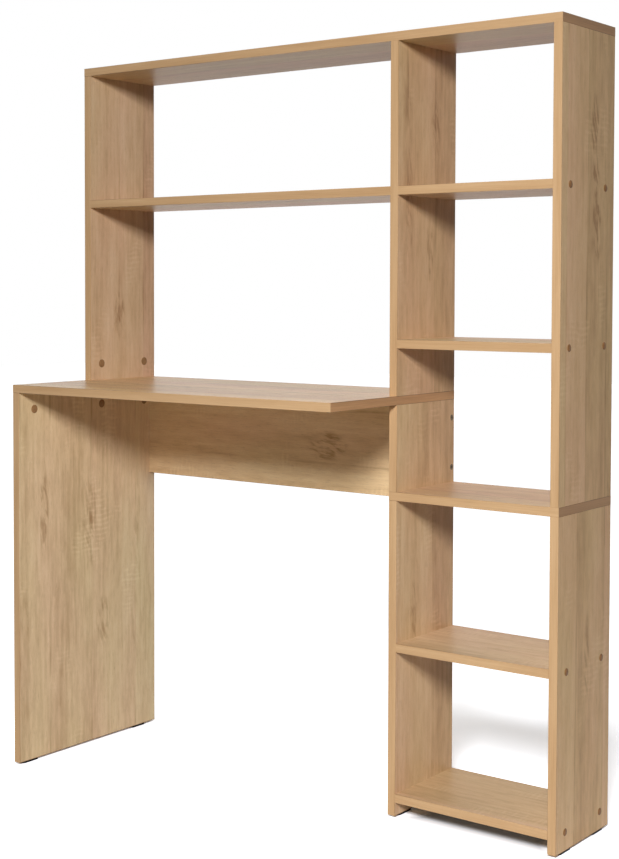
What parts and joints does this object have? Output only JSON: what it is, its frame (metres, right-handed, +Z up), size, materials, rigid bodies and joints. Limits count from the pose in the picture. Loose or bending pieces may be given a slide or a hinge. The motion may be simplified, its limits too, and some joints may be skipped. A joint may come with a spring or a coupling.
{
  "type": "student desk with hutch",
  "caption": "Wood-look desk with a hutch above it and an open shelf tower at its right end, joined with caps, cam locks and bolts.",
  "frame": {"origin": "on the floor, under the middle of the desk's outline", "axes": "+Z up, the user sits on the -Y side, the shelf tower is at the +X end"},
  "size_m": [1.0912, 0.402, 1.4056],
  "materials": {
    "oak_board": "light oak melamine with a fine matt texture",
    "oak_edging": "light oak edge strip, matt",
    "zinc_steel": "zinc-plated steel",
    "zinc_alloy": "plain die-cast zinc alloy",
    "brown_plastic": "wood-brown moulded plastic",
    "beech": "plain beech",
    "black_plastic": "black moulded plastic"
  },
  "bodies": {
    "root": {"cam_caps": "brown_plastic", "cam_locks": "zinc_alloy", "confirmat_screws": "zinc_steel", "desk_divider": "oak_board", "desk_divider_edging": "oak_edging", "desktop": "oak_board", "desktop_edging": "oak_edging", "double_bolts": "zinc_steel", "dowels": "beech", "glides": "black_plastic", "hutch_divider": "oak_board", "hutch_divider_edging": "oak_edging", "hutch_shelf": "oak_board", "hutch_shelf_edging": "oak_edging", "left_leg": "oak_board", "left_leg_edging": "oak_edging", "left_upright": "oak_board", "left_upright_edging": "oak_edging", "modesty_panel": "oak_board", "modesty_panel_edging": "oak_edging", "screw_caps": "brown_plastic", "single_bolts": "zinc_steel", "top_panel": "oak_board", "top_panel_edging": "oak_edging", "tower_base_shelf": "oak_board", "tower_base_shelf_edging": "oak_edging", "tower_deck": "oak_board", "tower_deck_edging": "oak_edging", "tower_left_lower": "oak_board", "tower_left_lower_edging": "oak_edging", "tower_lower_shelf": "oak_board", "tower_lower_shelf_edging": "oak_edging", "tower_middle_shelf": "oak_board", "tower_middle_shelf_edging": "oak_edging", "tower_right_lower": "oak_board", "tower_right_lower_edging": "oak_edging", "tower_right_upper": "oak_board", "tower_right_upper_edging": "oak_edging", "tower_upper_shelf": "oak_board", "tower_upper_shelf_edging": "oak_edging"}
  },
  "joints": []
}
